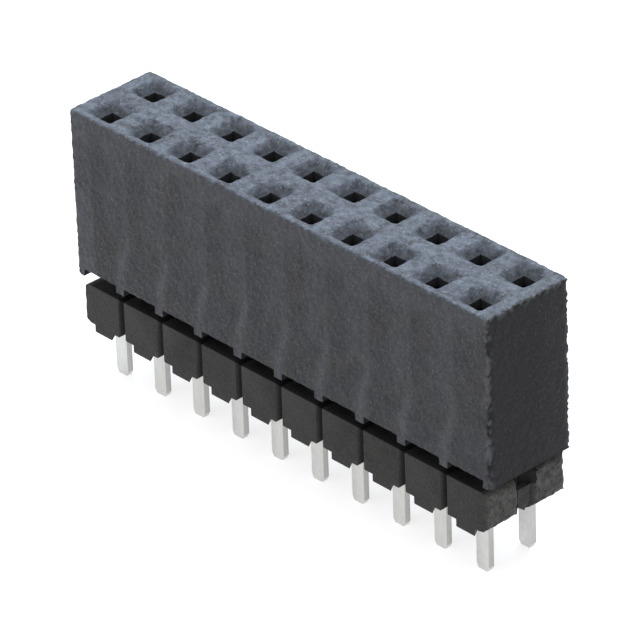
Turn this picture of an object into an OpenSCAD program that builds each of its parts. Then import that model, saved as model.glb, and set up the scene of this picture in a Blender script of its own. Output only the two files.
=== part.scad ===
// Female pin header strip: two rows of sockets in one housing, raised on a lower spacer.
// Millimetres. Z = 0 is the face that sits on the circuit board and +Z points at the sockets.
// X runs along the rows, and the origin is midway between the rows and the ends.

/* [Contact grid] */
// Contacts in each row
positions = 10; // [2:1:20]
// Distance between neighbouring contacts in a row
pitch = 2.54; // [2.4:0.02:3.2]
// Distance between the two rows
row_pitch = 2.54; // [2.4:0.02:3.2]

/* [Housing] */
// Last contact of a row to the end face
housing_end = 1.53; // [1.3:0.01:2.5]
// Row centre to the long side face
housing_side = 1.16; // [1.1:0.01:2]
// Height of the housing with its underside ribs
housing_h = 8.38; // [7.5:0.02:12]
// Radius of the four upright edges
edge_r = 0.12; // [0.05:0.01:0.35]
// Radius of the edges round the top face
top_r = 0.14; // [0.05:0.01:0.3]
// Height of the ribs under the housing
rib_h = 0.35; // [0.1:0.05:0.6]
// Width of the rib under each break line
rib_w = 0.5; // [0.2:0.02:0.8]
// Width of the rib under each end wall
end_rib_w = 0.43; // [0.2:0.01:0.55]

/* [Sockets] */
// Width of the square funnel at the top face
funnel_w = 1.58; // [1.2:0.02:1.8]
// Depth of the funnel
funnel_h = 0.4; // [0.2:0.02:0.8]
// Width of the square mouth below the funnel
mouth_w = 0.78; // [0.68:0.02:0.9]
// Length of the square mouth
mouth_h = 0.5; // [0.3:0.05:0.8]

/* [Contacts] */
// Thickness of the strip that the contacts are formed from
strip_t = 0.31; // [0.2:0.01:0.32]
// Width of the solder tail
tail_w = 0.74; // [0.5:0.02:0.8]
// Reach of the tail below the board face
tail_reach = 2.37; // [1.5:0.01:5]
// Width of the chamfers on the tail's tip
tip_chamfer_w = 0.12; // [0.05:0.01:0.2]
// Height of the chamfers on the tail's tip
tip_chamfer_h = 0.22; // [0.05:0.01:0.4]
// Width of the formed channel along the row
channel_l = 1.4; // [1.3:0.02:1.5]
// Width of the formed channel across the rows
channel_w = 1.3; // [1.28:0.02:1.4]
// Height of the formed channel
channel_h = 2.2; // [1.5:0.1:3]
// Inside radius of the bends
bend_r = 0.12; // [0.05:0.01:0.15]
// Slope of the jog between the tail and the channel, in degrees
jog_angle = 45; // [35:1:60]
// Height of the jog's foot above the housing's underside
jog_lift = 0.2; // [0:0.05:0.5]
// Width of each spring leaf across the rows
leaf_w = 0.68; // [0.5:0.02:0.7]
// Distance between the leaves where they grip the pin
grip_gap = 0.48; // [0.4:0.02:0.56]
// Height of the flared lead-in above the grip
lead_h = 0.8; // [0.5:0.05:1.2]
// Outward flare of each leaf at its top
lead_flare = 0.14; // [0.05:0.01:0.16]
// Gap between the leaves' tops and the cavity's ceiling
leaf_headroom = 0.15; // [0.05:0.05:0.5]
// Height of each barb
barb_h = 0.4; // [0.2:0.05:0.6]
// Distance between the lower and the upper barb
barb_step = 0.8; // [0.7:0.05:0.9]
// Gap between the channel and the cavity's walls, which the barbs close
cavity_fit = 0.06; // [0.03:0.01:0.08]

/* [Spacer] */
// Gap between the housing's ribs and the spacer
spacer_gap = 0.33; // [0.1:0.01:1]
// Height of the spacer with its feet
spacer_h = 2.39; // [1.8:0.01:6]
// Last contact of a row to the spacer's end face
spacer_end = 1.32; // [1.2:0.01:2.5]
// Row centre to the spacer's long side face
spacer_side = 1.13; // [1.05:0.01:2]
// Height of the feet
foot_h = 0.4; // [0.1:0.02:0.6]
// Width of each foot along the row, at the side face
foot_l = 1.12; // [0.8:0.01:1.5]
// Width of each foot across the rows
foot_w = 0.45; // [0.2:0.01:0.6]
// Narrowing of each foot along the row on its inner side
foot_taper = 0.28; // [0:0.02:0.35]
// Depth of the break lines in the sides and in the top
score_d = 0.2; // [0.1:0.01:0.26]
// Depth of the break lines in the underside
under_score_d = 0.23; // [0.1:0.01:0.35]
// Half width of the diamond hole on each break line
diamond_r = 0.6; // [0.4:0.02:0.65]
// Width of the web that crosses the diamond holes between the rows
web_w = 0.86; // [0.5:0.02:1]
// Depth of the web's top below the spacer's top
web_drop = 0.7; // [0.3:0.02:1]
// Depth of the web's ends behind the spacer's end faces
web_inset = 0.15; // [0.05:0.01:0.3]
// Gap between a tail and the slot that it passes through
slot_fit = 0.02; // [0.01:0.01:0.05]

/* [Hidden] */
$fn = 32;
// Overshoot of a cut past the face that it opens
past = 0.5;
row_names = ["a", "b"];
function contact_name(row, i) = str("contact_", row_names[row], i);
contact_names = [for (row = [0, 1], i = [1:positions]) contact_name(row, i)];

grid_l = (positions - 1) * pitch;
housing_l = grid_l + 2 * housing_end;
housing_w = row_pitch + 2 * housing_side;
housing_z = spacer_h + spacer_gap;
top_z = housing_z + housing_h;
under_z = housing_z + rib_h;
mouth_z = top_z - funnel_h;
ceiling_z = mouth_z - mouth_h;
cavity_l = channel_l + 2 * cavity_fit;
cavity_w = channel_w + 2 * cavity_fit;

spacer_l = grid_l + 2 * spacer_end;
spacer_w = row_pitch + 2 * spacer_side;

// Centreline radius, straight run and height of the jog
jog_r = bend_r + strip_t / 2;
jog_step = (channel_w - strip_t) / 2;
jog_run = (jog_step - 2 * jog_r * (1 - cos(jog_angle))) / sin(jog_angle);
jog_h = 2 * jog_r * sin(jog_angle) + jog_run * cos(jog_angle);
jog_z = under_z + jog_lift;
channel_z = jog_z + jog_h;
leaf_z = channel_z + channel_h;
leaf_top_z = ceiling_z - leaf_headroom;
grip_z = leaf_top_z - lead_h;
leaf_x = (channel_l - strip_t) / 2;
grip_x = (grip_gap + strip_t) / 2;
leaf_steps = 6;

housing_color = [0.29, 0.31, 0.34];
spacer_color = [0.16, 0.16, 0.15];
contact_color = [0.8, 0.8, 0.79];

function column_x(i) = (i - (positions + 1) / 2) * pitch;
function row_y(row) = (row - 0.5) * row_pitch;
break_xs = [for (i = [1:positions - 1]) column_x(i + 0.5)];
// Points of an arc from one angle to another
function arc(centre, r, from, to, steps = 4) =
    [for (k = [0:steps]) let (a = from + (to - from) * k / steps)
        centre + r * [cos(a), sin(a)]];

module at_contacts() {
    for (i = [1:positions], row = [0, 1])
        translate([column_x(i), row_y(row)]) children();
}

// Rectangle with round corners, centred
module round_rect(l, w, r) {
    square([l - 2 * r, w], center = true);
    square([l, w - 2 * r], center = true);
    for (x = [-1, 1], y = [-1, 1])
        translate([x * (l / 2 - r), y * (w / 2 - r)]) circle(r);
}

// Upright outline in X and Z, drawn from its lower left corner and made w thick about Y = 0
module across(w) {
    rotate([90, 0, 0]) linear_extrude(w, center = true) children();
}

// Upright outline in Y and Z, made l long about X = 0
module along(l) {
    rotate([90, 0, 90]) linear_extrude(l, center = true) children();
}

// Upright rectangle from z = low to z = high with both top corners round
module arch(w, low, high, r) {
    translate([-w / 2, low]) square([w, high - low - r]);
    translate([r - w / 2, low]) square([w - 2 * r, high - low]);
    for (side = [-1, 1])
        translate([side * (w / 2 - r), high - r]) circle(r);
}

// Outline of a funnel from its mouth to just above the top face
module funnel_outline() {
    slope = (funnel_w - mouth_w) / 2 / funnel_h;
    polygon([[-mouth_w / 2, mouth_z], [mouth_w / 2, mouth_z],
        [funnel_w / 2 + slope * past, top_z + past], [-funnel_w / 2 - slope * past, top_z + past]]);
}

module funnels() {
    intersection() {
        for (i = [1:positions])
            translate([column_x(i), 0, 0]) across(housing_w) funnel_outline();
        for (row = [0, 1])
            translate([0, row_y(row), 0]) along(housing_l) funnel_outline();
    }
}

// One recess between each pair of ribs under the housing
module rib_recesses() {
    edges = concat([-housing_l / 2 + end_rib_w - rib_w / 2], break_xs,
        [housing_l / 2 - end_rib_w + rib_w / 2]);
    for (k = [0:positions - 1])
        translate([edges[k] + rib_w / 2, -housing_w / 2 - past, housing_z - past])
            cube([edges[k + 1] - edges[k] - rib_w, housing_w + 2 * past, rib_h + past]);
}

module housing() {
    color(housing_color) difference() {
        intersection() {
            translate([0, 0, housing_z])
                linear_extrude(housing_h) round_rect(housing_l, housing_w, edge_r);
            across(housing_w) arch(housing_l, housing_z, top_z, top_r);
            along(housing_l) arch(housing_w, housing_z, top_z, top_r);
        }
        rib_recesses();
        funnels();
        at_contacts() {
            translate([-mouth_w / 2, -mouth_w / 2, ceiling_z - past])
                cube([mouth_w, mouth_w, top_z - ceiling_z + past]);
            translate([-cavity_l / 2, -cavity_w / 2, housing_z - past])
                cube([cavity_l, cavity_w, ceiling_z - housing_z + past]);
        }
    }
}

// Square bar on edge: the cut of a V groove whose depth is d
module groove_bar(length, d) {
    rotate([45, 0, 0]) cube([length, d * sqrt(2), d * sqrt(2)], center = true);
}

// The grooves and the diamond hole of one break plane, at X = 0
module break_line() {
    for (side = [-1, 1])
        translate([0, side * spacer_w / 2, spacer_h / 2])
            rotate([0, 90, 0]) groove_bar(spacer_h + 2 * past, score_d);
    translate([0, 0, spacer_h]) rotate([0, 0, 90]) groove_bar(spacer_w + 2 * past, score_d);
    translate([0, 0, foot_h]) rotate([0, 0, 90]) groove_bar(spacer_w + 2 * past, under_score_d);
    translate([0, 0, spacer_h / 2])
        rotate([0, 90, 0]) groove_bar(spacer_h + 2 * past, diamond_r);
}

// Web between the rows, with an underside that comes to a ridge at the underside of the cells
module web() {
    half = web_w / 2;
    along(spacer_l - 2 * web_inset) polygon([[0, foot_h], [half, foot_h + half],
        [half, spacer_h - web_drop], [-half, spacer_h - web_drop], [-half, foot_h + half]]);
}

// Foot under one side of one contact, wide at the side face and narrower inwards.
// It runs up into its cell.
module foot() {
    half = foot_l / 2;
    linear_extrude(foot_h + past) polygon([[-half, 0], [half, 0],
        [half - foot_taper, foot_w], [foot_taper - half, foot_w]]);
}

module spacer_feet() {
    for (i = [1:positions]) {
        translate([column_x(i), -spacer_w / 2, 0]) foot();
        translate([column_x(i), spacer_w / 2, 0]) rotate([0, 0, 180]) foot();
    }
}

module spacer() {
    slot_l = tail_w + 2 * slot_fit;
    slot_w = strip_t + 2 * slot_fit;
    color(spacer_color) difference() {
        union() {
            difference() {
                translate([-spacer_l / 2, -spacer_w / 2, foot_h])
                    cube([spacer_l, spacer_w, spacer_h - foot_h]);
                for (x = concat([-spacer_l / 2], break_xs, [spacer_l / 2]))
                    translate([x, 0, 0]) break_line();
            }
            web();
            spacer_feet();
        }
        at_contacts()
            translate([-slot_l / 2, -slot_w / 2, -past])
                cube([slot_l, slot_w, spacer_h + 2 * past]);
    }
}

// Side view of the tail and its jog, in Y and Z
module spine_outline() {
    half = strip_t / 2;
    low = [jog_r, jog_z];
    high = [jog_step - jog_r, channel_z];
    polygon(concat([[-half, -tail_reach]],
        arc(low, jog_r + half, 180, 180 - jog_angle),
        arc(high, jog_r - half, -jog_angle, 0),
        [[jog_step - half, channel_z + half], [jog_step + half, channel_z + half]],
        arc(high, jog_r + half, 0, -jog_angle),
        arc(low, jog_r - half, 180 - jog_angle, 180),
        [[half, -tail_reach]]));
}

// Front view of the tail, in X and Z, with its chamfered tip
module tail_outline() {
    half = tail_w / 2;
    tip = half - tip_chamfer_w;
    chamfer_z = tip_chamfer_h - tail_reach;
    polygon([[-tip, -tail_reach], [tip, -tail_reach], [half, chamfer_z],
        [half, channel_z + strip_t], [-half, channel_z + strip_t], [-half, chamfer_z]]);
}

// Three-sided channel in plan, open towards -Y
module channel_plan() {
    open_y = -leaf_w / 2;
    difference() {
        round_rect(channel_l, channel_w, bend_r + strip_t);
        translate([0, -strip_t]) round_rect(channel_l - 2 * strip_t, channel_w, bend_r);
        translate([-channel_l / 2 - past, open_y - channel_w])
            square([channel_l + 2 * past, channel_w]);
    }
}

// Distance of a leaf's centreline from the socket's axis at height z
function leaf_at(z) = z < grip_z
    ? leaf_x + (grip_x - leaf_x) * (1 - cos(180 * (z - leaf_z) / (grip_z - leaf_z))) / 2
    : grip_x + lead_flare * (1 - cos(90 * (z - grip_z) / lead_h));

module leaf_outline() {
    root_z = leaf_z - strip_t;
    zs = concat([root_z], [for (k = [0:leaf_steps]) leaf_z + (grip_z - leaf_z) * k / leaf_steps],
        [for (k = [1:leaf_steps / 2]) grip_z + lead_h * k / (leaf_steps / 2)]);
    inner = [for (z = zs) [leaf_at(max(z, leaf_z)) - strip_t / 2, z]];
    outer = [for (k = [len(zs) - 1:-1:0]) [leaf_at(max(zs[k], leaf_z)) + strip_t / 2, zs[k]]];
    polygon(concat(inner, outer));
}

// Barb with a flat underside, from the channel's side to the cavity's wall
module barb_outline() {
    polygon([[channel_l / 2 - strip_t / 2, 0], [cavity_l / 2, 0], [cavity_l / 2, barb_h / 4],
        [channel_l / 2, barb_h], [channel_l / 2 - strip_t / 2, barb_h]]);
}

// One contact with its tail's axis on the Z axis and its channel open towards -Y
module formed_contact() {
    intersection() {
        along(tail_w) spine_outline();
        across(channel_w) tail_outline();
    }
    translate([0, 0, channel_z]) linear_extrude(channel_h) channel_plan();
    for (side = [0, 1]) mirror([side, 0, 0]) {
        across(leaf_w) leaf_outline();
        for (z = [0, barb_step])
            translate([0, 0, channel_z + barb_h + z]) across(leaf_w / 2) barb_outline();
    }
}

// Both rows have their channels' backs towards the outer walls
module contact(row, i) {
    color(contact_color) translate([column_x(i), row_y(row), 0])
        rotate([0, 0, row == 0 ? 180 : 0]) formed_contact();
}

housing();
spacer();
for (row = [0, 1], i = [1:positions])
    contact(row, i);
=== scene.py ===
"""Looks of the female pin header strip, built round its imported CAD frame.

Shapes are worked out in millimetres in the frame's own axes and turned into metres when their mesh is made.
"""
import math

import bmesh
import bpy
import numpy as np
from mathutils import Matrix, Vector, noise


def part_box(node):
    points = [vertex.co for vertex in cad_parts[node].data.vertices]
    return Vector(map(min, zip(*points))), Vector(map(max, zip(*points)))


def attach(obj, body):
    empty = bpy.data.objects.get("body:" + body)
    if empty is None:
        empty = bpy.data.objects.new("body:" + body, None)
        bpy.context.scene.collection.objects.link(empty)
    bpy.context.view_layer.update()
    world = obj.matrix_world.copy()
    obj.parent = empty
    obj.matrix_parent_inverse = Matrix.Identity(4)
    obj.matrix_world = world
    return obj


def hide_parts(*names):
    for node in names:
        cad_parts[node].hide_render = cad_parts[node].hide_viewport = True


MM = 0.001

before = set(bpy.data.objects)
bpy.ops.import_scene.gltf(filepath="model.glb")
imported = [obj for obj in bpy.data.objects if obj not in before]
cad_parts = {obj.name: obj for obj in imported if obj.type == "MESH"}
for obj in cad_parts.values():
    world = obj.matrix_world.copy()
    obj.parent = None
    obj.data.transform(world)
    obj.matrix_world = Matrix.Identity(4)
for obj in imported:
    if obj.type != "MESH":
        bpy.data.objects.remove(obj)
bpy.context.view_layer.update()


def node_box(node):
    """Lowest and highest corner of a CAD node in millimetres."""
    return [np.array(corner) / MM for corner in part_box(node)]


# Sizes of the part in millimetres. A half is measured from the middle of its hole, groove or rib.

POSITIONS = 10
PITCH = 2.54
HOUSING_LOW, HOUSING_HIGH = node_box("housing")
SPACER_LOW, SPACER_HIGH = node_box("spacer")
TAIL_TIP_Z = node_box("contact_a1")[0][2]
COLUMNS = (np.arange(POSITIONS) - (POSITIONS - 1) / 2) * PITCH
BREAKS = COLUMNS[:-1] + PITCH / 2
ROWS = np.array([-PITCH / 2, PITCH / 2])
CONTACTS = [f"contact_{row}{i}" for row in "ab" for i in range(1, POSITIONS + 1)]

FUNNEL_HALF = 0.79
FUNNEL_DEPTH = 0.40
MOUTH_HALF = 0.39
MOUTH_DEPTH = 0.50
CAVITY_HALF = (0.76, 0.71)
RIB_HEIGHT = 0.35
RIB_HALF = 0.25
END_RIB = 0.43
EDGE_RADIUS = 0.14
FOOT_HEIGHT = 0.40
DIAMOND_HALF = 0.60
GROOVE_HALF = 0.20
WEB_DROP = 0.70

# The -X end is smoother than the +X end, and rounder along its edges that run across the rows.
SMOOTH_END_SHARE = 0.3  # its roughness as a share of the other end's
SMOOTH_END_RADIUS = 0.32  # under the housing and on top of the spacer
SMOOTH_FOOT_RADIUS = 0.28  # under the spacer, beside its feet
UPPER, LOWER = 1, -1

# Small lengths in millimetres
TINY = 1e-6  # within this, two coordinates are the same
WELD = 1e-4  # corners that lie closer than this are one
TOUCH = 1e-3  # within this, a corner lies on a face
SLACK = 0.02  # room beside a flat face that is looked for by its place
MARGIN = 0.05  # the same beside a round edge or a groove
PAST = 0.5  # how far a cutter runs past the face that it opens


# Numbers and noise

def smooth_step(low, high, value):
    """Rises smoothly from 0 at low to 1 at high."""
    t = np.clip((value - low) / (high - low), 0, 1)
    return t * t * (3 - 2 * t)


def close_to(limit, value, far, near):
    """1 where a value is less than near below its limit, and 0 where it is more than far below."""
    return smooth_step(limit - far, limit - near, value)


def between(start, end, share):
    """The value that lies that share of the way from start to end."""
    return start + (end - start) * share


def bell(distance, width):
    """1 at no distance, and falling in a bell curve of that width."""
    return np.exp(-(distance / width) ** 2)


def nearest(values, centres):
    """Signed distance from each value to its nearest centre."""
    gaps = values[:, None] - centres[None, :]
    return gaps[np.arange(len(values)), np.abs(gaps).argmin(1)]


def noise_at(points, size, seed):
    """Smooth noise between about -1 and 1 at each point, with features of that size in millimetres."""
    shift_per_seed = (17.3, 5.1, 11.7)
    offset = Vector([seed * step for step in shift_per_seed])
    return np.array([noise.noise(Vector(p) / size + offset) for p in points])


def dents_at(points, size, seed):
    """The same noise moved up to lie between 0 and 1, with its few ends cut off."""
    return np.clip(0.5 + noise_at(points, size, seed), 0, 1)


# Mesh tools

def add_object(name, data):
    """New object in the scene for a mesh, light or camera."""
    obj = bpy.data.objects.new(name, data)
    bpy.context.scene.collection.objects.link(obj)
    return obj


def make_object(name, points, faces):
    """New mesh object from points in millimetres."""
    mesh = bpy.data.meshes.new(name)
    mesh.from_pydata([tuple(p) for p in np.asarray(points) * MM], [], faces)
    mesh.validate()
    return add_object(name, mesh)


def read_vectors(items, name):
    """One named vector of each mesh item, as rows."""
    values = np.empty(len(items) * 3, np.float32)
    items.foreach_get(name, values)
    return values.reshape(-1, 3).astype(float)


def get_points(obj):
    """The vertices of an object's mesh, in millimetres."""
    return read_vectors(obj.data.vertices, "co") / MM


def get_normals(obj):
    """The normal at each vertex of an object's mesh."""
    return read_vectors(obj.data.vertex_normals, "vector")


def get_faces(obj):
    """Centre in millimetres and normal of each face of an object's mesh."""
    faces = obj.data.polygons
    return read_vectors(faces, "center") / MM, read_vectors(faces, "normal")


def set_points(obj, points):
    """Moves the vertices of an object's mesh to these points in millimetres."""
    obj.data.vertices.foreach_set("co", (points * MM).astype(np.float32).ravel())
    obj.data.update()


def set_attribute(obj, name, values, domain="POINT"):
    """Stores one number for each vertex or face, for a material to read."""
    attribute = obj.data.attributes.new(name, "FLOAT", domain)
    attribute.data.foreach_set("value", np.asarray(values, np.float32))


def grid_lines(stops, step):
    """Sorted coordinates that hold every stop, with gaps no wider than step between them."""
    stops = np.unique(np.round(stops, 5))
    parts = [np.linspace(a, b, max(1, math.ceil((b - a) / step - TINY)), endpoint=False)
             for a, b in zip(stops, stops[1:])]
    return np.append(np.concatenate(parts), stops[-1])


def box_skin(xs, ys, zs):
    """Points and faces of a box whose sides and top are grids on these lines. Its underside is one face."""
    nx, ny, nz = len(xs), len(ys), len(zs)
    index = -np.ones((nx, ny, nz), int)
    skin = np.zeros((nx, ny, nz), bool)
    skin[[0, -1], :, :] = True
    skin[:, [0, -1], :] = True
    skin[:, :, -1] = True
    index[skin] = np.arange(skin.sum())
    i, j, k = np.nonzero(skin)
    points = np.stack([xs[i], ys[j], zs[k]], 1)

    def sheet(ids, flip):
        quads = np.stack([ids[:-1, :-1], ids[1:, :-1], ids[1:, 1:], ids[:-1, 1:]], -1).reshape(-1, 4)
        return quads[:, ::-1] if flip else quads

    quads = np.concatenate([
        sheet(index[:, 0, :], False), sheet(index[:, -1, :], True),
        sheet(index[0, :, :], True), sheet(index[-1, :, :], False),
        sheet(index[:, :, -1], False)])
    underside = np.concatenate([
        index[0, :, 0], index[1:, -1, 0],
        index[-1, -2::-1, 0], index[-2:0:-1, 0, 0]])
    return points, [tuple(quad) for quad in quads.tolist()] + [tuple(underside.tolist())]


def round_edges(points, low, high, radius):
    """Moves the points of a box's skin so that its upright edges and top edges are round."""
    inner_low = low + [radius, radius, 0]
    inner_high = high - radius
    inner = np.clip(points, inner_low, inner_high)
    out = points - inner
    reach = np.abs(out).max(1)
    length = np.maximum(np.linalg.norm(out, axis=1), TINY)
    return inner + out * (reach / length)[:, None]


def round_smooth_end(points, end_x, edge_z, side, radius):
    """Moves points so that the UPPER or LOWER edge at this X and Z, which runs across the rows, is round."""
    strength = 0.85
    along = np.clip((end_x + radius - points[:, 0]) / radius, 0, 1)
    near = np.clip(1 - side * (edge_z - points[:, 2]) / radius, 0, 1)
    points[:, 2] -= side * strength * near * radius * (1 - np.sqrt(1 - along ** 2))


def stepped_prism(rings):
    """Points and faces of a closed upright shape.

    Each ring, lowest first, is half its size in X and Y, its centre in X and Y, and its Z.
    """
    signs = [(-1, -1), (1, -1), (1, 1), (-1, 1)]
    count = len(signs)
    points = [(cx + sx * hx, cy + sy * hy, z) for hx, hy, cx, cy, z in rings for sx, sy in signs]
    faces = [tuple(reversed(range(count)))]
    for low in range(0, count * (len(rings) - 1), count):
        high = low + count
        faces += [(low + n, low + (n + 1) % count, high + (n + 1) % count, high + n) for n in range(count)]
    top = count * (len(rings) - 1)
    return points, faces + [tuple(range(top, top + count))]


def join_shapes(shapes):
    """Points and faces of several shapes as one."""
    points, faces = [], []
    for more_points, more_faces in shapes:
        faces += [tuple(n + len(points) for n in face) for face in more_faces]
        points += list(more_points)
    return points, faces


def apply_modifiers(obj):
    """Bakes an object's modifiers into its mesh."""
    graph = bpy.context.evaluated_depsgraph_get()
    mesh = bpy.data.meshes.new_from_object(obj.evaluated_get(graph))
    obj.modifiers.clear()
    old = obj.data
    obj.data = mesh
    mesh.name = old.name
    bpy.data.meshes.remove(old)


def cut(obj, shapes):
    """Takes closed shapes that don't overlap each other out of an object."""
    cutter = make_object("cutter", *join_shapes(shapes))
    modifier = obj.modifiers.new("cut", "BOOLEAN")
    modifier.object = cutter
    modifier.operation = "DIFFERENCE"
    modifier.solver = "MANIFOLD"
    apply_modifiers(obj)
    bpy.data.objects.remove(cutter)


def bevel(obj, width, angle):
    """Rounds the edges of an object that are sharper than an angle in degrees."""
    modifier = obj.modifiers.new("bevel", "BEVEL")
    modifier.width = width * MM
    modifier.segments = 2
    modifier.limit_method = "ANGLE"
    modifier.angle_limit = math.radians(angle)
    apply_modifiers(obj)


def faces_across(shape, axis, place, low, high):
    """Faces with their centre between two corners that a plane square to an axis passes through."""
    crossed = []
    for face in shape.faces:
        spots = [vert.co[axis] / MM for vert in face.verts]
        centre = face.calc_center_median()
        if min(spots) < place < max(spots) and all(a < c / MM < b for a, c, b in zip(low, centre, high)):
            crossed.append(face)
    return crossed


def cut_grid(obj, low, high, step):
    """Cuts the faces that lie between two corners into a grid, so that they can be made uneven."""
    shape = bmesh.new()
    shape.from_mesh(obj.data)
    for axis, normal in enumerate(np.eye(3)):
        for place in np.arange(low[axis] + step / 2, high[axis], step):
            faces = faces_across(shape, axis, place, low, high)
            edges = dict.fromkeys(edge for face in faces for edge in face.edges)
            verts = dict.fromkeys(vert for face in faces for vert in face.verts)
            bmesh.ops.bisect_plane(shape, geom=[*faces, *edges, *verts], plane_co=normal * place * MM,
                                   plane_no=normal, dist=TOUCH * MM)
    shape.to_mesh(obj.data)
    shape.free()


def shade_smooth(obj, angle):
    """Smooth shading, with edges sharper than the angle in degrees left sharp."""
    shape = bmesh.new()
    shape.from_mesh(obj.data)
    for face in shape.faces:
        face.smooth = True
    for edge in shape.edges:
        edge.smooth = edge.calc_face_angle(math.pi) < math.radians(angle)
    shape.to_mesh(obj.data)
    shape.free()


def copy_of_node(node, name):
    """A copy of a CAD node's mesh, with its flat faces whole again."""
    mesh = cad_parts[node].data.copy()
    mesh.name = name
    stored_normals = mesh.attributes.get("custom_normal")
    if stored_normals:
        mesh.attributes.remove(stored_normals)
    flat_angle = math.radians(1)
    shape = bmesh.new()
    shape.from_mesh(mesh)
    bmesh.ops.remove_doubles(shape, verts=shape.verts, dist=WELD * MM)
    bmesh.ops.dissolve_limit(shape, angle_limit=flat_angle, verts=shape.verts, edges=shape.edges)
    shape.to_mesh(mesh)
    shape.free()
    return add_object(name, mesh)


def finish_piece(obj, node, material):
    """Puts a detailed piece in its CAD node's place."""
    obj.data.materials.clear()
    obj.data.materials.append(material)
    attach(obj, "root")
    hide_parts(node)


# Materials. Colours are linear red, green, blue and alpha.

WALL_DARK = (0.0125, 0.0130, 0.0140, 1)
WALL_PALE = (0.0395, 0.0430, 0.0500, 1)
WALL_WARM = (0.0415, 0.0410, 0.0425, 1)
# Painted light on the long sides, in pale bands
WALL_PAINTED_LIGHT = (0.074, 0.080, 0.092, 1)
WALL_SPECK = (0.130, 0.140, 0.155, 1)
# Painted light: the top is a paler, bluer copy of the wall colours, as the bluish light above falls on it
LIT_TOP_DARK = (0.0170, 0.0195, 0.0245, 1)
LIT_TOP_PALE = (0.102, 0.118, 0.146, 1)
LIT_TOP_FLECK = (0.200, 0.215, 0.235, 1)
# Painted shade on the end faces, which face away from the light
END_PAINTED_SHADE = (0.0026, 0.0018, 0.0032, 1)
# Painted shade in the sockets and in the recesses between the ribs
HOLLOW_PAINTED_SHADE = (0.024, 0.025, 0.028, 1)
SPACER_DARK = (0.0185, 0.0185, 0.0180, 1)
SPACER_PALE = (0.0385, 0.0380, 0.0370, 1)
# Paler wear and specks on the spacer, and a painted highlight on the upright corners of its end faces
SPACER_RUBBED_AND_HIGHLIGHT = (0.088, 0.085, 0.081, 1)
# Painted shade in the spacer's grooves, its diamond holes and on its top under the housing
SPACER_PAINTED_SHADE = (0.0090, 0.0090, 0.0095, 1)
TIN_BRIGHT = (0.620, 0.620, 0.605, 1)
TIN_DULL = (0.560, 0.560, 0.545, 1)
TIN_SHEARED = (0.470, 0.470, 0.455, 1)
FLOOR_GREY = (0.35, 0.35, 0.35, 1)
WHITE = (1, 1, 1, 1)

HOUSING_GLOSS = 0.18
SPACER_GLOSS = 0.09
FLOOR_GLOSS = 0.2
PLASTIC_IOR = 1.5
FLOOR_GLOW = 0.72


class Nodes:
    """Short names for building a material's nodes. A value is a number, a colour or a node's output."""

    MIX_A, MIX_B, MIX_RESULT = 6, 7, 2  # places of a Mix node's colour sockets

    def __init__(self, name):
        self.material = bpy.data.materials.new(name)
        self.material.use_nodes = True
        self.tree = self.material.node_tree
        self.shader = self.tree.nodes["Principled BSDF"]
        scale = self.node("VectorMath")
        scale.operation = "SCALE"
        scale.inputs["Scale"].default_value = 1 / MM
        self.link(self.node("TexCoord").outputs["Object"], scale.inputs[0])
        self.millimetres = scale.outputs[0]

    def node(self, kind):
        """New node of a kind."""
        return self.tree.nodes.new("ShaderNode" + kind)

    def link(self, value, socket):
        """Links a node's output to a socket, or sets the socket to a number or colour."""
        if isinstance(value, bpy.types.NodeSocket):
            self.tree.links.new(value, socket)
        else:
            socket.default_value = value

    def set(self, **inputs):
        """Sets inputs of the shader, whose names have _ for a space here."""
        for name, value in inputs.items():
            self.link(value, self.shader.inputs[name.replace("_", " ")])

    def attribute(self, name):
        """A number stored on the mesh."""
        node = self.node("Attribute")
        node.attribute_name = name
        return node.outputs["Fac"]

    def noise(self, size, detail=2.0, roughness=0.5, stretch=(1, 1, 1)):
        """Noise from 0 to 1 with features of that size in millimetres."""
        mapping = self.node("Mapping")
        mapping.inputs["Scale"].default_value = [1 / (size * s) for s in stretch]
        texture = self.node("TexNoise")
        texture.inputs["Scale"].default_value = 1.0
        texture.inputs["Detail"].default_value = detail
        texture.inputs["Roughness"].default_value = roughness
        self.link(self.millimetres, mapping.inputs["Vector"])
        self.link(mapping.outputs["Vector"], texture.inputs["Vector"])
        return texture.outputs["Fac"]

    def range(self, value, low, high, to_low=0.0, to_high=1.0):
        """A number that goes from to_low to to_high as the value goes from low to high."""
        node = self.node("MapRange")
        node.clamp = True
        self.link(value, node.inputs["Value"])
        self.link(low, node.inputs["From Min"])
        self.link(high, node.inputs["From Max"])
        self.link(to_low, node.inputs["To Min"])
        self.link(to_high, node.inputs["To Max"])
        return node.outputs["Result"]

    def between(self, start, end, share):
        """The number that lies that share of the way from start to end."""
        return self.range(share, 0.0, 1.0, start, end)

    def patches(self, size, low=0.3, high=0.7, least=0.0, most=1.0, **style):
        """Noise of strong contrast: least where it is under low, and most where it is over high."""
        return self.range(self.noise(size, **style), low, high, least, most)

    def math(self, operation, a, b):
        """Result of a Math node."""
        node = self.node("Math")
        node.operation = operation
        self.link(a, node.inputs[0])
        self.link(b, node.inputs[1])
        return node.outputs[0]

    def add(self, a, b):
        return self.math("ADD", a, b)

    def times(self, a, b):
        return self.math("MULTIPLY", a, b)

    def larger(self, a, b):
        return self.math("MAXIMUM", a, b)

    def mix(self, factor, a, b):
        """Mix of two colours."""
        node = self.node("Mix")
        node.data_type = "RGBA"
        self.link(factor, node.inputs["Factor"])
        self.link(a, node.inputs[self.MIX_A])
        self.link(b, node.inputs[self.MIX_B])
        return node.outputs[self.MIX_RESULT]

    def bump(self, height, depth):
        """Bump from a height between 0 and 1, whose full depth is given in millimetres."""
        node = self.node("Bump")
        node.inputs["Distance"].default_value = depth * MM
        self.link(height, node.inputs["Height"])
        return node.outputs["Normal"]


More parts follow.
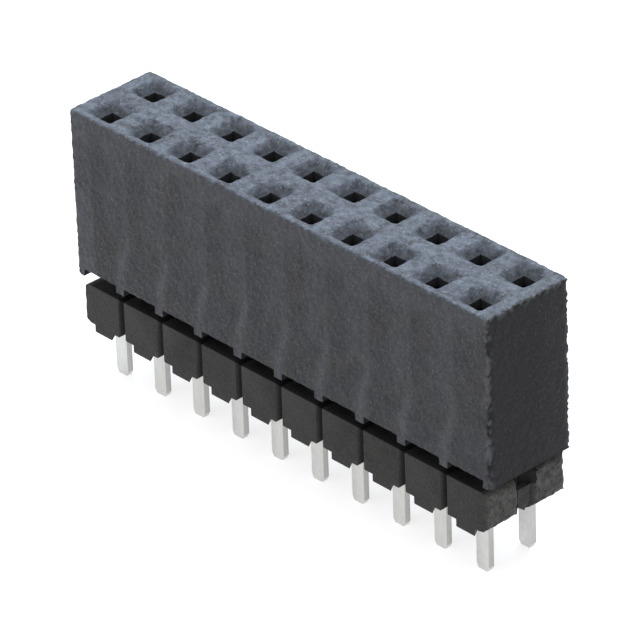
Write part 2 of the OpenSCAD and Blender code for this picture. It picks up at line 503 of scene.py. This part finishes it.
def housing_wall(n, grain):
    """Colour of the housing's sides: fine grains and soft clouds, with patchy paler bands of painted light.
    """
    cloud_share, grain_share, painted_light_share = 0.4, 0.5, 0.9
    clouds = n.patches(size=0.8, detail=3.0)
    paleness = n.add(n.times(clouds, cloud_share), n.times(grain, grain_share))
    warmth = n.patches(size=1.6, low=0.4, high=0.6)
    plain = n.mix(paleness, WALL_DARK, n.mix(warmth, WALL_PALE, WALL_WARM))
    # Painted light: pale bands where the shallow ridges over the solid walls would face the light
    painted_light_band = n.times(n.attribute("painted_light_band"), n.patches(size=0.22, least=0.35, detail=3.0))
    return n.mix(n.times(painted_light_band, painted_light_share), plain, n.mix(paleness, WALL_PALE, WALL_PAINTED_LIGHT))


def housing_lit_top(n):
    """Colour of the housing's top: strongly mottled, with painted light that makes it bluer and paler than
    its sides.
    """
    mottle = n.patches(size=0.34, low=0.30, high=0.68, detail=4.0, roughness=0.65)
    return n.mix(mottle, LIT_TOP_DARK, LIT_TOP_PALE)


def with_specks(n, colour, end, top):
    """A colour with the housing's pale specks, its paler burr, and flecks on its top made brighter by
    painted light.
    """
    end_share, burr_share = 0.35, 0.4
    specks = n.patches(size=0.12, low=0.60, high=0.76, most=0.25, detail=1.0)
    specks = n.times(specks, n.between(1.0, end_share, end))
    burr = n.times(n.attribute("burr"), burr_share)
    flecks = n.patches(size=0.11, low=0.60, high=0.72, most=0.6)
    colour = n.mix(n.larger(specks, burr), colour, WALL_SPECK)
    return n.mix(n.times(top, flecks), colour, LIT_TOP_FLECK)


def housing_plastic():
    """Dark blue-grey filled plastic with a coarse grain, with painted shade on its end faces and in its
    hollows, and painted light on its top and in pale bands on its sides.
    """
    n = Nodes("housing_grain")
    end, top = n.attribute("end"), n.attribute("top")
    grain = n.patches(size=0.12, low=0.32, high=0.70, detail=3.0, roughness=0.7)
    end_shade_share = 0.94
    # Painted light on the top
    colour = n.mix(top, housing_wall(n, grain), housing_lit_top(n))
    # Painted shade on the end faces, which are also smoother and less specked
    colour = n.mix(n.times(end, end_shade_share), colour, END_PAINTED_SHADE)
    colour = with_specks(n, colour, end, top)
    # Painted shade in the sockets and the recesses between the ribs
    colour = n.mix(n.attribute("inside"), colour, HOLLOW_PAINTED_SHADE)
    fine_share, end_share = 0.6, 0.4
    height = n.add(n.noise(size=0.24), n.times(n.noise(size=0.08), fine_share))
    height = n.times(height, n.between(1.0, end_share, end))
    n.set(Base_Color=colour, Roughness=n.between(0.62, 0.48, grain), Normal=n.bump(height, depth=0.029))
    n.set(Specular_IOR_Level=HOUSING_GLOSS, IOR=PLASTIC_IOR)
    return n.material


def spacer_plastic():
    """Black plastic, smoother than the housing, with painted shade in its grooves, its diamond holes and its
    top under the housing, rubbed pale on its end faces, and with a painted highlight on their upright
    corners.
    """
    n = Nodes("spacer_black")
    clouds = n.patches(size=0.45, detail=4.0)
    grain = n.patches(size=0.12, low=0.35)
    paleness = n.times(n.add(clouds, grain), 0.5)
    colour = n.mix(paleness, SPACER_DARK, SPACER_PALE)
    rubs = n.patches(size=0.20, low=0.36, detail=3.0, roughness=0.6)
    # Rubbed paleness on the end faces, with a painted highlight on their upright corners
    colour = n.mix(n.times(n.attribute("wear_and_edge_highlight"), rubs), colour, SPACER_RUBBED_AND_HIGHLIGHT)
    specks = n.patches(size=0.07, low=0.70, high=0.80, most=0.4, detail=1.0)
    colour = n.mix(specks, colour, SPACER_RUBBED_AND_HIGHLIGHT)
    # Painted shade in the grooves, the diamond holes and the top under the housing
    groove = n.range(n.attribute("groove"), low=0.05, high=0.65)
    colour = n.mix(n.larger(groove, n.attribute("inside")), colour, SPACER_PAINTED_SHADE)
    fine_share = 0.5
    height = n.add(n.noise(size=0.2), n.times(n.noise(size=0.06), fine_share))
    n.set(Base_Color=colour, Roughness=n.between(0.45, 0.6, clouds), Normal=n.bump(height, depth=0.03))
    n.set(Specular_IOR_Level=SPACER_GLOSS, IOR=PLASTIC_IOR)
    return n.material


def contact_metal():
    """Matte tin plating with a faint grain drawn along the strip, duller on its sheared sides."""
    n = Nodes("contact_tin")
    streaks = n.patches(size=0.06, low=0.35, detail=3.0, stretch=(1, 1, 10))
    patches = n.patches(size=0.35, low=0.35, detail=3.0)
    colour = n.mix(n.times(streaks, patches), TIN_BRIGHT, TIN_DULL)
    colour = n.mix(n.attribute("sheared"), colour, TIN_SHEARED)
    n.set(Base_Color=colour, Roughness=n.between(0.42, 0.58, streaks), Normal=n.bump(patches, depth=0.012))
    n.set(Metallic=1.0)
    return n.material


def floor_white():
    """Plain matte white that glows a little, so that the floor stays white under the part."""
    n = Nodes("floor")
    n.set(Base_Color=FLOOR_GREY, Emission_Color=WHITE, Emission_Strength=FLOOR_GLOW)
    n.set(Roughness=0.8, Specular_IOR_Level=FLOOR_GLOSS)
    return n.material


# Housing

SKIN_STEP = 0.095  # widest gap between the skin's grid lines
GRAIN_COARSE = 0.036  # depths of the moulded grain
GRAIN_FINE = 0.022
BURR = 0.07  # depth of the notches between the burr's beads
BURR_REACH = 0.24  # how far the burr spreads from an end face
BURR_WIDTH = 0.22  # how far it spreads over that face
RIM_SOFTNESS = 0.08  # how far the funnels' rims are rounded over
CORNER_POWER = 12.0  # squareness of the funnels' corners at the top
CORNER_INSET = 0.1  # how far inside the rim they are at their roundest
HOUSING_SHARP = 42  # degrees

# Painted light on the long sides, in pale bands. Heights are above the ribs' feet, and a pair is a start and
# an end.
STREAK_STRENGTH = 0.9
STREAK_LEAN = (0.10, 0.68)
STREAK_WIDTH = (0.33, 0.27)
LEAN_HEIGHTS = (0.9, 3.2)
WIDTH_HEIGHTS = (1.0, 3.0)
STREAK_FADE = (2.0, 4.2)
WALL_STRENGTH = 0.38
WALL_SIDES = ((-0.9, -0.3), (0.68, 0.82))
WALL_HEIGHTS = ((2.0, 3.8), (7.0, 8.0))
RIM_STRENGTH = 0.6
RIM_HEIGHTS = (6.4, 8.2)
END_WALL_STRENGTH = 0.8
END_WALL_REACH = (1.06, 1.36)
END_WALL_FADE = (3.0, 5.0)


def funnel_depth(x, y):
    """Depth of the nearest socket's funnel below the top face, where its rim is soft."""
    u = np.abs(nearest(x, COLUMNS))
    v = np.abs(nearest(y, ROWS))
    square = np.maximum(u, v)
    rounded = (u ** CORNER_POWER + v ** CORNER_POWER) ** (1 / CORNER_POWER)
    reach = between(square, rounded, smooth_step(MOUTH_HALF, FUNNEL_HALF - CORNER_INSET, square))
    inwards = FUNNEL_HALF - reach
    slope = FUNNEL_DEPTH / (FUNNEL_HALF - MOUTH_HALF)
    depth = slope * (inwards + np.sqrt(inwards ** 2 + RIM_SOFTNESS ** 2)) / 2
    floor_depth = FUNNEL_DEPTH + 0.06
    return np.minimum(depth, floor_depth)


def painted_light_band_at(x, z):
    """Strength, 0 to 1, of the painted light on a long side: pale bands over the solid walls where their
    shallow ridges would face the light, paler towards the top and towards the -X end.

    X is as on the front. The back has the same marks turned round.
    """
    gap = nearest(x, BREAKS)
    height = z - HOUSING_LOW[2]
    lean = between(*STREAK_LEAN, smooth_step(*LEAN_HEIGHTS, height))
    width = between(*STREAK_WIDTH, smooth_step(*WIDTH_HEIGHTS, height))
    streak = STREAK_STRENGTH * bell(gap - lean, width) * (1 - smooth_step(*STREAK_FADE, height))
    across = smooth_step(*WALL_SIDES[0], gap) * (1 - smooth_step(*WALL_SIDES[1], gap))
    upwards = smooth_step(*WALL_HEIGHTS[0], height) * (1 - smooth_step(*WALL_HEIGHTS[1], height))
    wall = WALL_STRENGTH * across * upwards
    rim = RIM_STRENGTH * smooth_step(*RIM_HEIGHTS, height)
    end_wall = END_WALL_STRENGTH * (1 - smooth_step(*END_WALL_REACH, x - HOUSING_LOW[0]))
    end_wall *= between(1, 0.5, smooth_step(*END_WALL_FADE, height))
    return np.clip(streak + wall + rim + end_wall, 0, 1)


def end_strength(points):
    """How rough the end nearest to each point is, as a share of the +X end."""
    return np.where(points[:, 0] > 0, 1.0, SMOOTH_END_SHARE)


def burr_at(points):
    """Strength, 0 to 1, of the rough burr round the two end faces."""
    from_end = HOUSING_HIGH[0] - np.abs(points[:, 0])
    from_side = np.minimum(HOUSING_HIGH[1] - np.abs(points[:, 1]), HOUSING_HIGH[2] - points[:, 2])
    return end_strength(points) * bell(from_end, BURR_REACH) * bell(from_side, BURR_WIDTH)


def beads_at(points):
    """1 on the burr's beads and 0 between them."""
    fine_share = 0.6
    bead_foot, bead_top = -0.15, 0.35
    coarse = noise_at(points, size=0.22, seed=3)
    fine = noise_at(points, size=0.13, seed=6)
    return smooth_step(bead_foot, bead_top, coarse + fine_share * fine)


def grain_at(points):
    """Depth of the moulded grain, which is less on the end faces."""
    coarse = GRAIN_COARSE * dents_at(points, size=0.30, seed=1)
    fine = GRAIN_FINE * dents_at(points, size=0.15, seed=2)
    on_end = close_to(HOUSING_HIGH[0], np.abs(points[:, 0]), far=0.1, near=0)
    end_share = 0.4
    return (coarse + fine) * between(1, end_share, on_end)


def housing_lines():
    """Grid lines of the housing's skin along X, Y and Z, closer at its round edges and the funnels' rims."""
    low, high = HOUSING_LOW, HOUSING_HIGH
    edge = EDGE_RADIUS * np.array([0, 0.2, 0.4, 0.7, 1])
    rims = np.array([0, MOUTH_HALF, FUNNEL_HALF - MARGIN, FUNNEL_HALF, FUNNEL_HALF + MARGIN])
    rims = np.concatenate([rims, -rims])
    x_stops = [low[0] + edge, high[0] - edge, (COLUMNS[:, None] + rims).ravel()]
    y_stops = [low[1] + edge, high[1] - edge, (ROWS[:, None] + rims).ravel()]
    z_stops = [[low[2]], high[2] - edge]
    return [grid_lines(np.concatenate(stops), SKIN_STEP) for stops in (x_stops, y_stops, z_stops)]


def housing_block():
    """The housing's outer block, with its round edges, funnels, burrs and coarse grain."""
    low, high = HOUSING_LOW, HOUSING_HIGH
    points, faces = box_skin(*housing_lines())
    on_top = points[:, 2] > high[2] - TINY
    burr = burr_at(points)
    points = round_edges(points, low, high, EDGE_RADIUS)
    points[on_top, 2] -= funnel_depth(points[on_top, 0], points[on_top, 1])
    obj = make_object("housing_skin", points, faces)
    depth = grain_at(points) + BURR * burr * (1 - beads_at(points))
    underside = points[:, 2] < low[2] + TINY
    moved = points - get_normals(obj) * depth[:, None]
    moved[underside, 2] = low[2]
    set_points(obj, np.clip(moved, low, high))
    return obj


def rib_recesses():
    """Shapes of the recesses that leave a rib under each break line and each end wall."""
    low, high = HOUSING_LOW, HOUSING_HIGH
    ribs = np.concatenate([[low[0] + END_RIB - RIB_HALF], BREAKS, [high[0] - END_RIB + RIB_HALF]])
    half_y = high[1] + PAST
    heights = (low[2] - PAST, low[2] + RIB_HEIGHT)
    shapes = []
    for left, right in zip(ribs, ribs[1:]):
        half_x = (right - left) / 2 - RIB_HALF
        middle = (left + right) / 2
        shapes.append(stepped_prism([(half_x, half_y, middle, 0, z) for z in heights]))
    return shapes


def socket_shape(x, y):
    """Shape of the cavity at a place, and of the narrower mouth above it."""
    ceiling = HOUSING_HIGH[2] - FUNNEL_DEPTH - MOUTH_DEPTH
    return stepped_prism([
        (*CAVITY_HALF, x, y, HOUSING_LOW[2] - PAST), (*CAVITY_HALF, x, y, ceiling),
        (MOUTH_HALF, MOUTH_HALF, x, y, ceiling), (MOUTH_HALF, MOUTH_HALF, x, y, HOUSING_HIGH[2] + PAST)])


def mark_housing_surfaces(obj):
    """Stores where the housing's painted light and shade go, in its pale bands, its darker end faces and its
    pale top that darkens down the funnels, and where its burr is.
    """
    high = HOUSING_HIGH
    points = get_points(obj)
    x, y, z = points.T
    raggedness, paler_half, funnel_floor = 0.12, 0.84, 0.5

    on_side = close_to(high[1], np.abs(y), far=0.25, near=0.12)
    # Painted light in pale bands on the long sides
    set_attribute(obj, "painted_light_band", on_side * painted_light_band_at(x * -np.sign(y), z))

    ragged = raggedness * noise_at(points, size=0.22, seed=7)
    on_end = close_to(high[0], np.abs(x) + ragged, far=0.15, near=0.07)
    on_top = close_to(high[2], z + ragged, far=0.14, near=0.05)
    # Painted shade on the end faces, a little lighter on one half of each
    darkness = between(1, paler_half, smooth_step(0.2, 1.6, y * np.sign(x)))
    set_attribute(obj, "end", on_end * (1 - on_top) * darkness)

    rim = 0.2
    in_funnels = (np.abs(x) < high[0] - rim) & (np.abs(y) < high[1] - rim)
    in_funnels &= z > high[2] - FUNNEL_DEPTH - rim
    # Painted light of the top on the funnels' rims, fading into painted shade down towards their mouths
    paleness = between(1, funnel_floor, smooth_step(0.08, FUNNEL_DEPTH, high[2] - z))
    set_attribute(obj, "top", np.where(in_funnels, paleness, on_top))
    set_attribute(obj, "burr", burr_at(points) * beads_at(points))


def mark_housing_hollows(obj):
    """Stores which faces lie in the sockets or in the recesses between the ribs, for painted shade."""
    low, high = HOUSING_LOW, HOUSING_HIGH
    centres, normals = get_faces(obj)
    x, y, z = centres.T
    in_socket = np.abs(nearest(x, COLUMNS)) < CAVITY_HALF[0] + SLACK
    in_socket &= np.abs(nearest(y, ROWS)) < CAVITY_HALF[1] + SLACK
    in_socket &= z < high[2] - FUNNEL_DEPTH - MARGIN
    on_long_side = np.abs(normals[:, 1]) > 0.5
    in_recess = (z > low[2] + SLACK) & (z < low[2] + RIB_HEIGHT + SLACK)
    in_recess &= (np.abs(x) < high[0] - END_RIB + SLACK) & ~on_long_side
    # These faces get painted shade
    set_attribute(obj, "inside", in_socket | in_recess, "FACE")


def build_housing(material):
    """The moulded housing, in place of its CAD node."""
    obj = housing_block()
    cut(obj, rib_recesses())
    cut(obj, [socket_shape(x, y) for x in COLUMNS for y in ROWS])
    points = get_points(obj)
    round_smooth_end(points, HOUSING_LOW[0], HOUSING_LOW[2], LOWER, SMOOTH_END_RADIUS)
    set_points(obj, points)
    mark_housing_surfaces(obj)
    mark_housing_hollows(obj)
    shade_smooth(obj, HOUSING_SHARP)
    finish_piece(obj, "housing", material)


# Spacer

CELL_EDGE = 0.05  # width of the bevel round each cell
SHORT_EDGE = 0.12  # shorter edges aren't bevelled
END_GRID = 0.15  # step of the grid on the two end cells
END_COARSE = 0.10  # depths of the end faces' roughness
END_FINE = 0.03
LIT_END = 0.4  # length of the top at each end that the housing doesn't shade
SPACER_SHARP = 35  # degrees


def is_cell_edge(edge):
    """Whether an edge lies on the outside of the spacer's box, clear of its grooves and its feet's sides."""
    low, high = SPACER_LOW, SPACER_HIGH
    a, b = (np.array(vert.co) / MM for vert in edge.verts)
    above_feet = min(a[2], b[2]) > low[2] + FOOT_HEIGHT + MARGIN
    under_feet = max(a[2], b[2]) <= low[2] + MARGIN
    clear_of_grooves = np.abs((a[0] + b[0]) / 2 - BREAKS).min() >= GROOVE_HALF + MARGIN
    at_low = np.maximum(a, b) < low + TOUCH
    at_high = np.minimum(a, b) > high - TOUCH
    return (above_feet or under_feet) and clear_of_grooves and (at_low | at_high).any()


def bevel_cells(obj):
    """Rounds the convex outer edges of the spacer's cells."""
    shape = bmesh.new()
    shape.from_mesh(obj.data)
    sharp = math.radians(40)
    edges = [edge for edge in shape.edges if edge.calc_length() > SHORT_EDGE * MM and edge.is_convex
             and edge.calc_face_angle(0) > sharp and is_cell_edge(edge)]
    bmesh.ops.bevel(shape, geom=edges, offset=CELL_EDGE * MM, offset_type="OFFSET", segments=2, profile=0.5,
                    affect="EDGES", clamp_overlap=False)
    shape.to_mesh(obj.data)
    shape.free()


def grid_end_cells(obj):
    """Cuts the faces of the two end cells into a grid."""
    room = 0.1
    low, high = SPACER_LOW - room, SPACER_HIGH + room
    cut_grid(obj, (BREAKS[-1], low[1], low[2]), high, END_GRID)
    cut_grid(obj, low, (BREAKS[0], high[1], high[2]), END_GRID)


def roughen_ends(obj):
    """Makes the spacer's two end cells uneven, and rounds the smoother one."""
    low, high = SPACER_LOW, SPACER_HIGH
    points = get_points(obj)
    near_end = close_to(high[0], np.abs(points[:, 0]), far=0.7, near=0.1)
    coarse = END_COARSE * dents_at(points, size=0.35, seed=4)
    fine = END_FINE * dents_at(points, size=0.17, seed=5)
    depth = near_end * (coarse + fine) * end_strength(points)
    moved = points - get_normals(obj) * depth[:, None]
    edge_x = low[0] + GROOVE_HALF
    round_smooth_end(moved, edge_x, high[2], UPPER, SMOOTH_END_RADIUS)
    round_smooth_end(moved, edge_x, low[2] + FOOT_HEIGHT, LOWER, SMOOTH_FOOT_RADIUS)
    set_points(obj, np.clip(moved, low, high))


def mark_spacer_surfaces(obj):
    """Stores where the spacer's end faces are rubbed pale and where their upright corners get a painted
    highlight, and where the painted shade in the grooves of its sides goes.
    """
    points = get_points(obj)
    from_middle = np.abs(points[:, 0])
    side_depth = SPACER_HIGH[1] - np.abs(points[:, 1])
    face_share = 0.75
    on_face = close_to(SPACER_HIGH[0], from_middle, far=0.16, near=0.04)
    # Painted highlight on the upright corners of the end faces
    corner_highlight = bell(side_depth, 0.15) * close_to(SPACER_HIGH[0], from_middle, far=0.2, near=0.05)
    set_attribute(obj, "wear_and_edge_highlight", np.maximum(face_share * on_face, corner_highlight))
    # Painted shade in the grooves
    groove_core = 0.12
    in_groove = np.abs(nearest(points[:, 0], BREAKS)) < groove_core
    in_groove &= side_depth < GROOVE_HALF + MARGIN
    set_attribute(obj, "groove", in_groove * smooth_step(0.04, 0.15, side_depth))


def mark_spacer_hollows(obj):
    """Stores which faces get painted shade: the spacer's top where the housing shades it, and the faces in
    its diamond holes.
    """
    high = SPACER_HIGH
    centres, normals = get_faces(obj)
    x, y, z = centres.T
    faces_up = normals[:, 2] > 0.5
    on_top = (z > high[2] - GROOVE_HALF - SLACK) & faces_up & (np.abs(x) < high[0] - LIT_END)
    in_hole = (np.abs(y) < DIAMOND_HALF + MARGIN) & (np.abs(x) < high[0] - MARGIN)
    in_hole &= z > high[2] - WEB_DROP - SLACK
    # These faces get painted shade
    set_attribute(obj, "inside", on_top | in_hole, "FACE")


def build_spacer(material):
    """The scored spacer, in place of its CAD node."""
    obj = copy_of_node("spacer", "spacer_skin")
    bevel_cells(obj)
    grid_end_cells(obj)
    mark_spacer_surfaces(obj)
    roughen_ends(obj)
    mark_spacer_hollows(obj)
    shade_smooth(obj, SPACER_SHARP)
    finish_piece(obj, "spacer", material)


# Contacts

PLATED_EDGE = 0.018
CONTACT_SHARP = 35  # degrees


def build_contacts(material):
    """The twenty plated contacts, in place of their CAD nodes."""
    for node in CONTACTS:
        obj = copy_of_node(node, node + "_plated")
        bevel(obj, PLATED_EDGE, angle=30)
        normals = get_faces(obj)[1]
        faces_x = np.abs(normals[:, 0]) > 0.9
        set_attribute(obj, "sheared", faces_x, "FACE")
        shade_smooth(obj, CONTACT_SHARP)
        finish_piece(obj, node, material)


# Stage. Lengths are in millimetres and angles in degrees.

CAMERA_AZIMUTH = 47.47
CAMERA_ELEVATION = 31.22
CAMERA_ROLL = -2.01
CAMERA_DISTANCE = 260.92
CAMERA_RIGHT = 0.32
CAMERA_UP = -5.22
CAMERA_LENS = 344.06
SENSOR_WIDTH = 36
CLIP_START = 10
CLIP_END = 5000
AIM_Z = 10.72
LIGHT_DISTANCE = 400
LIGHT_SIZE = 300
LIGHT_AIM_Z = 5
ROOM_LIGHT = 1.2
BLUISH = (0.86, 0.985, 1.17)
FLOOR_HALF = 1500


def direction(azimuth, elevation):
    """Unit vector from the part towards a point seen at these angles. Azimuth 0 is towards -Y."""
    a, e = math.radians(azimuth), math.radians(elevation)
    return Vector((math.sin(a) * math.cos(e), -math.cos(a) * math.cos(e), math.sin(e)))


def build_camera():
    """The photograph's own viewpoint, worked out from where its twenty socket mouths lie."""
    back = direction(CAMERA_AZIMUTH, CAMERA_ELEVATION)
    level = back.to_track_quat("Z", "Y").to_matrix()
    roll = math.radians(CAMERA_ROLL)
    right = level.col[0] * math.cos(roll) + level.col[1] * math.sin(roll)
    up = level.col[1] * math.cos(roll) - level.col[0] * math.sin(roll)
    place = Vector((0, 0, AIM_Z)) + back * CAMERA_DISTANCE + right * CAMERA_RIGHT + up * CAMERA_UP
    data = bpy.data.cameras.new("camera")
    data.sensor_width = SENSOR_WIDTH
    data.lens = CAMERA_LENS
    data.clip_start = CLIP_START * MM
    data.clip_end = CLIP_END * MM
    camera = add_object("camera", data)
    camera.matrix_world = Matrix((right, up, back)).transposed().to_4x4()
    camera.location = place * MM
    bpy.context.scene.camera = camera


def area_light(name, azimuth, elevation, power, colour):
    """Square soft light that looks at the part."""
    data = bpy.data.lights.new(name, "AREA")
    data.shape = "SQUARE"
    data.size = LIGHT_SIZE * MM
    data.energy = power
    data.color = colour
    light = add_object(name, data)
    back = direction(azimuth, elevation)
    light.location = (Vector((0, 0, LIGHT_AIM_Z)) + back * LIGHT_DISTANCE) * MM
    light.rotation_mode = "QUATERNION"
    light.rotation_quaternion = back.to_track_quat("Z", "Y")


def build_floor(material):
    """Plain floor at the height of the tails' tips."""
    half = FLOOR_HALF
    corners = [(-half, -half), (half, -half), (half, half), (-half, half)]
    floor = make_object("floor", [(x, y, TAIL_TIP_Z) for x, y in corners], [(0, 1, 2, 3)])
    floor.data.materials.append(material)


def build_light():
    """An even white room, a soft bluish light high behind the part, and a weak one in front."""
    world = bpy.data.worlds.new("studio")
    world.use_nodes = True
    background = world.node_tree.nodes["Background"]
    background.inputs["Color"].default_value = WHITE
    background.inputs["Strength"].default_value = ROOM_LIGHT
    bpy.context.scene.world = world
    area_light("back_high", azimuth=215, elevation=50, power=1.6, colour=BLUISH)
    area_light("front", azimuth=-10, elevation=30, power=0.3, colour=WHITE[:3])


build_housing(housing_plastic())
build_spacer(spacer_plastic())
build_contacts(contact_metal())
build_floor(floor_white())
build_light()
build_camera()
bpy.context.scene.view_settings.view_transform = "Standard"
